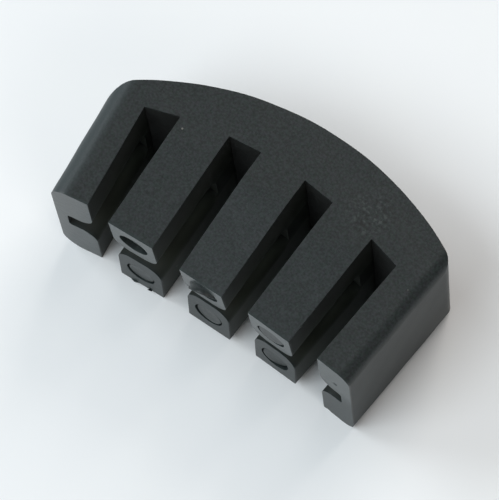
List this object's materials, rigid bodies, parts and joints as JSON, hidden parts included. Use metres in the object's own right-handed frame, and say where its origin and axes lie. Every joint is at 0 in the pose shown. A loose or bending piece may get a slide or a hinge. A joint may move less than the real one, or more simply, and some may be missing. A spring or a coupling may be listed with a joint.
{
  "type": "violin practice mute",
  "caption": "Black rubber practice mute for a violin bridge: arched crown, five prongs with string slots between them and a bridge slot along the middle.",
  "frame": {"origin": "middle of the part's box on its back face, which is the face it lies on", "axes": "+X along the row of prongs towards the bass side, +Y from the prong tips to the crown, +Z from the back face to the front face"},
  "size_m": [0.0532, 0.0284, 0.0215],
  "materials": {
    "body_rubber": "matte black moulded rubber, faintly mottled, with a soft sheen on the tips",
    "plug_rubber": "matte black rubber, slightly greyer than the body"
  },
  "bodies": {
    "root": {"mute_body": "body_rubber", "front_plug_left": "plug_rubber", "front_plug_middle": "plug_rubber", "front_plug_right": "plug_rubber", "back_plug_left": "plug_rubber", "back_plug_middle": "plug_rubber", "back_plug_right": "plug_rubber"}
  },
  "joints": []
}
